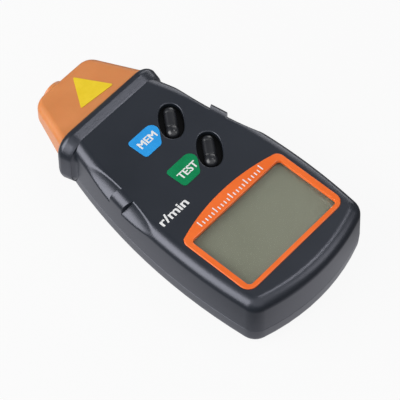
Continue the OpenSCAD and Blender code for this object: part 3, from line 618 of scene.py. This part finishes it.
# %% Welded copies of measured nodes
def welded_copy(name, source, body, slot, material, wedges=(), trims=(), angle=30):
    work = bmesh.new()
    work.from_mesh(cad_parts[source].data)
    bmesh.ops.remove_doubles(work, verts=work.verts, dist=2e-6)
    mesh = bpy.data.meshes.new(name)
    work.to_mesh(mesh)
    work.free()
    if "custom_normal" in mesh.attributes:
        mesh.attributes.remove(mesh.attributes["custom_normal"])
    piece = bpy.data.objects.new(name, mesh)
    scene.collection.objects.link(piece)
    for wedge in wedges:
        carve(piece, wedge, "UNION")
    for trim in trims:
        carve(piece, trim)
    shade(piece, angle)
    return place(piece, body, slot, material, source)


wedge_lap, wedge_x = 0.5, 24.2
wedge_end = [collar_ring(y, start_inset) for y in (collar_rear_y, collar_rear_y + wedge_lap)]
lower_flare = loft("lower_flare", flare + wedge_end)
carve(lower_flare, block("above_seam", (-50, 20, parting_z - seam_half), (50, 60, 40)))
carve(lower_flare, block("between_sides", (-wedge_x, 20, -5), (wedge_x, 60, 40)))

foot_r, proud, foot_steps = 5.0, 0.03, (36, 26, 60)
foot = [(foot_r * (1 - math.sin(t)) - proud, foot_r * (1 - math.cos(t)) - proud) for t in turns[::-1]]
foot_rings = [case_ring(z, inset, collar_crest_y, foot_steps)[0] for z, inset in foot]
rail_ends = []
for low, high in ((-17.0, -13.0), (13.0, 17.0)):
    rail_end = block("rail_end", (low, -72, -2), (high, -62, 3))
    carve(rail_end, loft("plain_foot", foot_rings))
    rail_ends.append(rail_end)
welded_copy("lower_case", "bottom_shell", "case", "case_plastic", case_plastic, [lower_flare], rail_ends)
welded_copy("sliding_door", "battery_door", "battery_cover", "case_plastic", case_plastic)

# %% [markdown]
# ## The amber nose
# The nose narrows to the front, falls on top, rises a little below, and all its edges are
# rounded. A loft along the case gives that in one go: each ring is a rounded rectangle whose
# width and height follow the tapers, and both shrink along a quarter circle at the front.

# %% Nose cap
nose_face_y, nose_half, nose_z0, nose_z1 = 69.55, 24.65, 7.7, 25.6
taper, fall_angle, rise_angle = (math.radians(a) for a in (20.8, 7.8, 4))
nose_corner, nose_front_r, nose_upper_r, nose_lower_r, nose_wall = 4.2, 2.2, 3.4, 6.0, 1.8


def run_in(y, r):
    s = max(0, y - (nose_face_y - r))
    return r - math.sqrt(max(0, r * r - s * s))


def nose_ring(y, inset):
    d, fall = y - collar_front_y, run_in(y, nose_front_r)
    half = nose_half - d * math.tan(taper) - run_in(y, nose_corner) - inset
    z0 = nose_z0 + d * math.tan(rise_angle) + fall + inset
    z1 = nose_z1 - d * math.tan(fall_angle) - fall - inset
    most = (z1 - z0) / 2 - 0.4
    radii = (nose_upper_r - inset - fall / 2, nose_lower_r - inset - fall)
    upper_r, lower_r = (max(0.6, min(r, most)) for r in radii)
    return cross_ring(y, half, z0, z1, upper_r, lower_r)


straight = list(np.linspace(collar_front_y, nose_face_y - nose_corner, 8))
corner_turns = np.radians([6, 12, 18, 24])
edge_turns = np.radians([2, 12, 22, 34, 46, 58, 70, 80, 90])
corner = [nose_face_y - nose_corner * (1 - math.sin(a)) for a in corner_turns]
edge = [nose_face_y - nose_front_r * (1 - math.sin(a)) for a in edge_turns]
nose = loft("amber_nose", [nose_ring(y, 0) for y in straight + corner + edge])
hollow_ys = list(np.linspace(collar_front_y - 0.01, 62, 5)) + [63.8, 65.3, 66.5, 67.3, 67.75]
carve(nose, neck_block("neck", 0, 41.85, collar_front_y + nose_wall), "UNION")
carve(nose, loft("nose_hollow", [nose_ring(y, nose_wall) for y in hollow_ys]))
carve(nose, neck_block("neck_bore", -nose_wall, 41, collar_front_y + nose_wall + 1))
print("nose front half-width", round(float(np.ptp(nose_ring(nose_face_y, 0)[:, 0])) / 2, 2), "mm")

# %% [markdown]
# ## Receiver rim and laser port
# Light comes back through the wide lens and leaves through the small port beside it. Both sit
# in round rims on the front of the nose. A rim is a turned profile with a softened edge that is
# joined to the nose, and the seat, the bore and the port are turned cutters with a flared mouth.

# %% Receiver rim and laser port
optics_z, receiver_x, laser_x = 16.0, -4.6, 9.5
rim_back_y, bore_back_y = 62.75, 61.75


def turned(name, x, profile, n=72):
    around = np.linspace(0, 2 * math.pi, n, endpoint=False)
    across, up = np.cos(around), np.sin(around)
    return loft(name, [
        np.column_stack([x + r * across, np.full(n, y), optics_z + r * up]) for y, r in profile
    ])


def rim_profile(y0, y1, r, soft):
    return [(y0, r)] + [(y1 - soft + soft * math.sin(t), r - soft * (1 - math.cos(t))) for t in turns[::4]]


carve(nose, turned("receiver_rim", receiver_x, rim_profile(rim_back_y, 70.6, 5.8, 0.45)), "UNION")
carve(nose, turned("laser_rim", laser_x, rim_profile(rim_back_y, 70.05, 3.4, 0.3)), "UNION")
carve(nose, turned("lens_seat", receiver_x, [(66.75, 4.5), (70.2, 4.5), (71.6, 5.6)]))
carve(nose, turned("receiver_bore", receiver_x, [(bore_back_y, 3.8), (67.6, 3.8)]))
carve(nose, turned("laser_port", laser_x, [(bore_back_y, 1.8), (69.8, 1.8), (70.75, 2.6)]))
shade(nose, 30)
place(nose, "case", "amber_plastic", amber_plastic, "nose_cap")

# %% [markdown]
# ## The orange display frame
# The frame stands slightly proud of the face. Its outer edge is rolled over, and the edge of
# the window opening is broken by a small bevel, so that both draw a fine light line. Outer and
# inner outline are cut at the same directions from the middle, so that they can be joined ring
# to ring into one closed tube without any cut.

# %% Display frame
frame_middle = np.array([0.0, (frame_y0 + frame_y1) / 2])


def direction(points):
    return np.arctan2(points[:, 1] - frame_middle[1], points[:, 0] - frame_middle[0])


def seen_at(outline, angles):
    ring = outline[np.argsort(direction(outline))]
    turn = direction(ring)
    turn = np.concatenate([turn[-1:] - 2 * math.pi, turn, turn[:1] + 2 * math.pi])
    ring = np.vstack([ring[-1:], ring, ring[:1]]) - frame_middle
    at = []
    for a in angles:
        i = max(0, min(int(np.searchsorted(turn, a)) - 1, len(ring) - 2))
        p, d = ring[i], ring[i + 1] - ring[i]
        ray = np.array([math.cos(a), math.sin(a)])
        t = (p[0] * ray[1] - p[1] * ray[0]) / (d[1] * ray[0] - d[0] * ray[1])
        at.append(frame_middle + p + t * d)
    return np.array(at)


def closed_tube(name, rings):
    count, faces = len(rings[0]), []
    for level in range(len(rings)):
        low, high = level * count, (level + 1) % len(rings) * count
        faces += [(low + i, low + (i + 1) % count, high + (i + 1) % count, high + i) for i in range(count)]
    return mesh_piece(name, np.vstack(rings), faces)


soft_edge, bevel, bevel_step = 0.4, 0.25, 0.07
cuts = np.sort(np.concatenate([direction(frame_outline(0)), direction(window_outline(0))]))
cuts = cuts[np.concatenate([[True], np.diff(cuts) > 1e-3])]
outer = [(frame_z0, 0)] + [
    (frame_z1 - soft_edge + soft_edge * math.sin(t), soft_edge * (1 - math.cos(t))) for t in turns[::4]
]
inner = [(frame_z1, bevel), (frame_z1 - bevel_step, bevel_step), (frame_z1 - bevel, 0), (frame_z0, 0)]
tube = [at_height(seen_at(frame_outline(g), cuts), z) for z, g in outer]
tube += [at_height(seen_at(window_outline(g), cuts), z) for z, g in inner]
display_frame = closed_tube("display_frame", tube)
shade(display_frame, 30)
place(display_frame, "case", "orange_plastic", orange_plastic, "display_bezel")

# %% [markdown]
# ## Push buttons
# A button is a polished capsule lying in its well: a ball at the near end, then a slightly
# slimmer barrel with a flattened crown, with a fine groove turned at each end of the barrel.
# One turned profile gives all of that. The oval base stays below the face and keeps the button
# from falling out. Its near-black is painted shade, darker than the capsule's plastic, so that
# the well reads as deep.

# %% Two capsule buttons
ball_r, barrel_r, capsule_half, capsule_z = 2.75, 2.55, 7.5, 26.15
near_groove, far_groove, groove_half, groove_deep = -2.5, 4.4, 0.36, 0.3
crown, crown_share, capsule_z0 = barrel_r - 0.25, 0.3, 25.0
base_l, base_w = 19.6, 12.6
base_profile = [(24.2, 0), (25.5, 0), (25.64, -0.06), (25.7, -0.2)]
# Painted shade: the button base is a dull near-black so that the well looks deep and shadowed.
well_painted_shade = moulded(
    "well_painted_shade", (0.0025, 0.0025, 0.003), (0.004, 0.004, 0.0045), (0.6, 0.75), 120,
    Specular_IOR_Level=0.15,
)


def capsule_radius(s):
    ball_at, far_at = ball_r - capsule_half, capsule_half - barrel_r
    if s < ball_at:
        return math.sqrt(max(ball_r ** 2 - (s - ball_at) ** 2, 0))
    if s < near_groove:
        return ball_r * math.sqrt(1 - ((s - ball_at) / 4.6) ** 2)
    return math.sqrt(max(barrel_r ** 2 - max(s - far_at, 0) ** 2, 0))


def push_button(name, centre):
    c, s = math.cos(button_turn), math.sin(button_turn)
    around = np.linspace(0, 2 * math.pi, 64, endpoint=False)
    ends = capsule_half * np.sin(np.linspace(-math.pi / 2 + 0.02, math.pi / 2 - 0.02, 91))
    grooves = [groove + groove_half * np.linspace(-1, 1, 15) for groove in (near_groove, far_groove)]
    ends = np.unique(np.concatenate([ends, *grooves]))
    rings = []
    for along in ends:
        near = [max(0, 1 - abs(along - groove) / groove_half) for groove in (near_groove, far_groove)]
        r = capsule_radius(along) - groove_deep * sum(math.sin(math.pi / 2 * d) ** 2 for d in near)
        across, up = r * np.cos(around), r * np.sin(around)
        if near_groove < along < far_groove:
            up = np.where(up > crown, crown + (up - crown) * crown_share, up)
        x, y = centre[0] + c * along - s * across, centre[1] + s * along + c * across
        rings.append(np.column_stack([x, y, capsule_z + up]))
    capsule = loft(name, rings)
    carve(capsule, block("under", (-30, -40, 10), (40, 60, capsule_z0)))
    return shade(capsule, 40)


for key, centre in button_places.items():
    capsule = push_button(key + "_capsule", centre)
    place(capsule, key + "_key", "button_plastic", button_plastic, key + "_button")
    base = loft(key + "_base", [oval(base_l + 2 * g, base_w + 2 * g, z, centre) for z, g in base_profile])
    place(shade(base, 40), key + "_key", "button_plastic", well_painted_shade)

# %% [markdown]
# ## Printed films and clear pieces
# Labels are thin printed films: an ink colour that varies very little, with a fine grain and a
# soft gloss. The window must let light through to the display, so its shader turns transparent
# for shadow rays and keeps a clear, slightly reflecting face otherwise.

# %% Film, glass and display finishes
printed = dict(rough=(0.30, 0.38), patch=300, grain=3000, bump=0.03, Specular_IOR_Level=0.3)
blue_film = moulded("blue_film", (0.024, 0.32, 0.77), (0.030, 0.36, 0.84), **printed)
green_film = moulded("green_film", (0.001, 0.22, 0.074), (0.002, 0.25, 0.088), **printed)
yellow_film = moulded("yellow_film", (0.82, 0.58, 0.020), (0.88, 0.64, 0.035), **printed)
white_ink = moulded("white_ink", (0.80, 0.80, 0.79), (0.88, 0.88, 0.87), (0.4, 0.5), 400, 3000, 0.03)


def clear(name, tint, rough):
    material = bpy.data.materials.new(name)
    material.use_nodes = True
    tree = material.node_tree
    shader = tree.nodes["Principled BSDF"]
    shader.inputs["Base Color"].default_value = (*tint, 1)
    shader.inputs["Transmission Weight"].default_value = 1
    shader.inputs["IOR"].default_value = 1.46
    smear = node(tree, "ShaderNodeTexNoise")
    smear.inputs["Scale"].default_value = 180
    gloss = node(tree, "ShaderNodeMapRange")
    gloss.inputs["To Min"].default_value = rough[0]
    gloss.inputs["To Max"].default_value = rough[1]
    tree.links.new(smear.outputs["Fac"], gloss.inputs["Value"])
    tree.links.new(gloss.outputs["Result"], shader.inputs["Roughness"])
    ray = node(tree, "ShaderNodeLightPath")
    through = node(tree, "ShaderNodeBsdfTransparent")
    through.inputs["Color"].default_value = (*tint, 1)
    blend = node(tree, "ShaderNodeMixShader")
    tree.links.new(ray.outputs["Is Shadow Ray"], blend.inputs["Fac"])
    tree.links.new(shader.outputs["BSDF"], blend.inputs[1])
    tree.links.new(through.outputs["BSDF"], blend.inputs[2])
    tree.links.new(blend.outputs["Shader"], tree.nodes["Material Output"].inputs["Surface"])
    return material


window_clear = clear("window_clear", (0.93, 0.95, 0.93), (0.02, 0.06))
lens_glass = clear("lens_glass", (0.90, 0.94, 0.97), (0.01, 0.03))
sensor_epoxy = clear("sensor_epoxy", (0.45, 0.10, 0.08), (0.04, 0.08))
lcd_glass = moulded("lcd_glass", (0.166, 0.163, 0.122), (0.188, 0.184, 0.141), (0.38, 0.46), 22, 1600, 0.03)
print("films and glass ready")

# %% [markdown]
# ## Metals, board and wires
# What is inside shows only when the door is open or through the lenses, but it still gets a
# finish of its own from the same helper: close patches of tint and gloss on steel and brass, a
# coarser grain in the green board lacquer, and a wide change of tone on the soft contact strips.

# %% Finishes of the inner pieces
steel = moulded(
    "plated_steel", (0.40, 0.41, 0.42), (0.50, 0.51, 0.52), (0.22, 0.34), 500, 2600, 0.05, Metallic=1.0,
)
brass = moulded(
    "turned_brass", (0.52, 0.33, 0.10), (0.62, 0.41, 0.14), (0.20, 0.30), 400, 2600, 0.05, Metallic=1.0,
)
cell_jacket = moulded(
    "cell_jacket", (0.10, 0.10, 0.11), (0.14, 0.14, 0.15), (0.25, 0.34), 90, 2000, 0.03, Metallic=0.6,
)
board_laminate = moulded(
    "board_laminate", (0.008, 0.085, 0.030), (0.014, 0.120, 0.040), (0.28, 0.36), 700, 1400, 0.12,
)
contact_rubber = moulded(
    "contact_rubber", (0.05, 0.05, 0.05), (0.20, 0.19, 0.18), (0.6, 0.75), 900, 1800, 0.1,
)
wire_sleeve = moulded("wire_sleeve", (0.06, 0.010, 0.010), (0.09, 0.016, 0.014), (0.3, 0.4), 200)
print("inner finishes ready")

# %% [markdown]
# ## Kept nodes
# A measured node whose shape is already right stays as it is. Flat films, the window, the
# display glass and everything inside are such nodes, and each only gets its finish.

# %% Finishes of the kept nodes
kept_finishes = {
    "display_window": window_clear, "lcd_panel": lcd_glass,
    "lcd_holder": inner_plastic, "zebra_strips": contact_rubber,
    "nose_sticker": yellow_film, "mem_label": blue_film, "test_label": green_film,
    "mem_plunger": inner_plastic, "test_plunger": inner_plastic, "mem_switch": steel, "test_switch": steel,
    "circuit_board": board_laminate, "controller_chip": inner_plastic, "crystal_can": steel,
    "block_battery": cell_jacket, "battery_snap": inner_plastic, "battery_leads": wire_sleeve,
    "optics_holder": inner_plastic, "receiver_lens": lens_glass, "photo_sensor": sensor_epoxy,
    "sensor_board": board_laminate, "sensor_leads": wire_sleeve,
    "laser_barrel": brass, "laser_lens": lens_glass, "case_screws": steel, "board_screws": steel,
}
for name, material in kept_finishes.items():
    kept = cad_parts[name]
    if not kept.material_slots:
        kept.data.materials.append(material)
    for held in kept.material_slots:
        held.material = material
print("kept nodes finished:", len(kept_finishes))

# %% [markdown]
# ## Legends
# The labels carry the plain function words of their buttons in white ink. Text is drawn as a
# font curve and turned into a thin mesh that lies on the film. Four prints of it, a part of a
# millimetre apart, make the strokes bold without bending their corners.

# %% White legends
ink_t, print_step = 0.02, 0.001


def legend(name, words, centre, height, width, z, slot, bold=0.13):
    curve = bpy.data.curves.new(name, "FONT")
    curve.body = words
    curve.align_x, curve.align_y = "CENTER", "CENTER"
    curve.extrude = 0.01
    curve.resolution_u = 6
    drawn = bpy.data.objects.new(name + "_curve", curve)
    scene.collection.objects.link(drawn)
    graph = bpy.context.evaluated_depsgraph_get()
    mesh = bpy.data.meshes.new_from_object(drawn.evaluated_get(graph))
    bpy.data.objects.remove(drawn, do_unlink=True)
    points = np.array([v.co[:] for v in mesh.vertices])
    low, high = points.min(0), points.max(0)
    size = np.array([width - 2 * bold, height - bold, ink_t])
    points = (points - (low + high) / 2) * size / (high - low) + np.array([*centre, z + 0.012])
    corners = [(-bold, -bold / 2), (bold, -bold / 2), (-bold, bold / 2), (bold, bold / 2)]
    prints = [points + np.array([*corner, k * print_step]) for k, corner in enumerate(corners)]
    faces = [
        tuple(k * len(points) + i for i in face.vertices)
        for k in range(len(prints)) for face in mesh.polygons
    ]
    piece = mesh_piece(name, np.vstack(prints), faces)
    bpy.data.meshes.remove(mesh)
    return place(piece, "case", slot, white_ink)


film_top = case_top + 0.2
legend("mem_legend", "MEM", (-2.05, 19.7), 3.3, 9.4, film_top, "blue_film")
legend("test_legend", "TEST", (-2.0, -1.97), 3.3, 10.0, film_top, "green_film")
legend("unit_legend", "r/min", (-20.5, -11.0), 4.0, 15.0, case_top, "case_plastic", 0.16)

# %% [markdown]
# ## Scale marks on the orange frame
# The broad front band of the frame carries a row of white scale marks, longer at every fifth.
# They are thin printed bars, so one mesh holds them all.

# %% Scale marks
mark_count, mark_x0, mark_pitch, mark_y0 = 21, -18, 1.8, -24.0
mark_half, mark_long, mark_short = 0.25, 2.8, 1.6
sides = [(0, 1, 5, 4), (1, 2, 6, 5), (2, 3, 7, 6), (3, 0, 4, 7), (3, 2, 1, 0), (4, 5, 6, 7)]
mark_points, mark_faces = [], []
for k in range(mark_count):
    x = mark_x0 + mark_pitch * k
    x0, x1, y1 = x - mark_half, x + mark_half, mark_y0 + (mark_short if k % 5 else mark_long)
    first = len(mark_points)
    for z in (frame_z1, frame_z1 + ink_t):
        mark_points += [(x0, mark_y0, z), (x1, mark_y0, z), (x1, y1, z), (x0, y1, z)]
    mark_faces += [tuple(first + i for i in face) for face in sides]
place(mesh_piece("scale_marks", mark_points, mark_faces), "case", "orange_plastic", white_ink)

# %% [markdown]
# ## Floor
# A pale floor stands for the photographer's table. The camera sees it as nearly white, with the
# object's own shadow left on it. In reflections it is a pool of light round the object that
# fades away, which draws the dark band under the strip of light on the rounded edge.

# %% Floor
floor_r, floor_z, floor_white = 420, -0.05, 0.92
pool_half = (0.038, 0.074)
floor_material = bpy.data.materials.new("pale_floor")
floor_material.use_nodes = True
tree = floor_material.node_tree
tree.nodes.clear()
paper = node(tree, "ShaderNodeBsdfDiffuse")
paper.inputs["Color"].default_value = (0.55, 0.55, 0.55, 1)
glow = node(tree, "ShaderNodeEmission")
glow.inputs["Color"].default_value = (1, 1, 1, 1)
glow.inputs["Strength"].default_value = 1
ray = node(tree, "ShaderNodeLightPath")
share = node(tree, "ShaderNodeMath", operation="MULTIPLY")
share.inputs[1].default_value = floor_white
seen = node(tree, "ShaderNodeMixShader")
spot = node(tree, "ShaderNodeTexCoord")
squeeze = node(tree, "ShaderNodeVectorMath", operation="MULTIPLY")
squeeze.inputs[1].default_value = (1 / pool_half[0], 1 / pool_half[1], 0)
reach = node(tree, "ShaderNodeVectorMath", operation="LENGTH")
fade = node(tree, "ShaderNodeMapRange")
fade.inputs["From Min"].default_value = 1.15
fade.inputs["From Max"].default_value = 1.7
fade.inputs["To Min"].default_value = 0.75
fade.inputs["To Max"].default_value = 0.10
pool = node(tree, "ShaderNodeEmission")
pool.inputs["Color"].default_value = (0.95, 0.95, 1.0, 1)
mirrored = node(tree, "ShaderNodeMixShader")
surface = node(tree, "ShaderNodeOutputMaterial")
tree.links.new(ray.outputs["Is Camera Ray"], share.inputs[0])
tree.links.new(share.outputs[0], seen.inputs["Fac"])
tree.links.new(paper.outputs["BSDF"], seen.inputs[1])
tree.links.new(glow.outputs["Emission"], seen.inputs[2])
tree.links.new(spot.outputs["Object"], squeeze.inputs[0])
tree.links.new(squeeze.outputs[0], reach.inputs[0])
tree.links.new(reach.outputs["Value"], fade.inputs["Value"])
tree.links.new(fade.outputs["Result"], pool.inputs["Strength"])
tree.links.new(ray.outputs["Is Glossy Ray"], mirrored.inputs["Fac"])
tree.links.new(seen.outputs["Shader"], mirrored.inputs[1])
tree.links.new(pool.outputs["Emission"], mirrored.inputs[2])
tree.links.new(mirrored.outputs["Shader"], surface.inputs["Surface"])

around = np.linspace(0, 2 * math.pi, 64, endpoint=False)
floor_ring = [(floor_r * math.cos(a), floor_r * math.sin(a), floor_z) for a in around]
floor = mesh_piece("floor", floor_ring, [tuple(range(len(floor_ring)))])
floor.data.materials.append(floor_material)
print("floor radius", floor_r, "mm")

# %% [markdown]
# ## World
# The room behind the table is white to the camera. For every other ray it is a dim cool grey,
# so it lifts the shadows a little and leaves the shape to the lamps.

# %% World
world = bpy.data.worlds.new("studio_world")
world.use_nodes = True
scene.world = world
tree = world.node_tree
tree.nodes.clear()
dim = node(tree, "ShaderNodeBackground")
dim.inputs["Color"].default_value = (0.92, 0.95, 1.0, 1)
dim.inputs["Strength"].default_value = 0.18
white = node(tree, "ShaderNodeBackground")
white.inputs["Strength"].default_value = 1
white.inputs["Color"].default_value = (1, 1, 1, 1)
ray = node(tree, "ShaderNodeLightPath")
blend = node(tree, "ShaderNodeMixShader")
sky = node(tree, "ShaderNodeOutputWorld")
tree.links.new(ray.outputs["Is Camera Ray"], blend.inputs["Fac"])
tree.links.new(dim.outputs["Background"], blend.inputs[1])
tree.links.new(white.outputs["Background"], blend.inputs[2])
tree.links.new(blend.outputs["Shader"], sky.inputs["Surface"])
print("world dimmed to", round(dim.inputs["Strength"].default_value, 2))

# %% [markdown]
# ## Soft lamps
# Black plastic shows its shape by what it mirrors. The large lamp on the left makes the strip of
# light on the rounded edge, a wide weak one fills the face, and a tall one behind draws the strip
# along the rear. Three small ones pick out the ramp of the collar and the far edges. Each lamp
# looks at the object, so only its direction, distance, size and power have to be given.

# %% Soft lamps
def soft_lamp(name, toward, distance, size, power):
    data = bpy.data.lights.new(name, "AREA")
    data.shape = "RECTANGLE"
    data.size, data.size_y = size
    data.energy = power
    lamp = bpy.data.objects.new(name, data)
    away = Vector(toward).normalized()
    lamp.location = away * distance
    lamp.rotation_euler = away.to_track_quat("Z", "Y").to_euler()
    scene.collection.objects.link(lamp)
    print(name, "radiance", round(power / (math.pi * size[0] * size[1]), 2))


soft_lamp("left_lamp", (-0.80, 0.48, 0.46), 0.95, (1.0, 0.85), 10.4)
soft_lamp("fill_lamp", (-0.35, -0.50, 0.79), 1.1, (1.4, 1.4), 3.9)
soft_lamp("rear_lamp", (0.43, -0.66, 0.56), 1.0, (0.4, 0.55), 1.3)
soft_lamp("crest_lamp", (0.39, -0.09, 0.91), 1.0, (0.14, 0.28), 1.1)
soft_lamp("far_lamp", (0.74, 0.50, 0.45), 1.0, (0.5, 0.35), 0.9)
soft_lamp("right_lamp", (0.92, 0.37, 0.12), 1.0, (0.5, 0.3), 1.0)
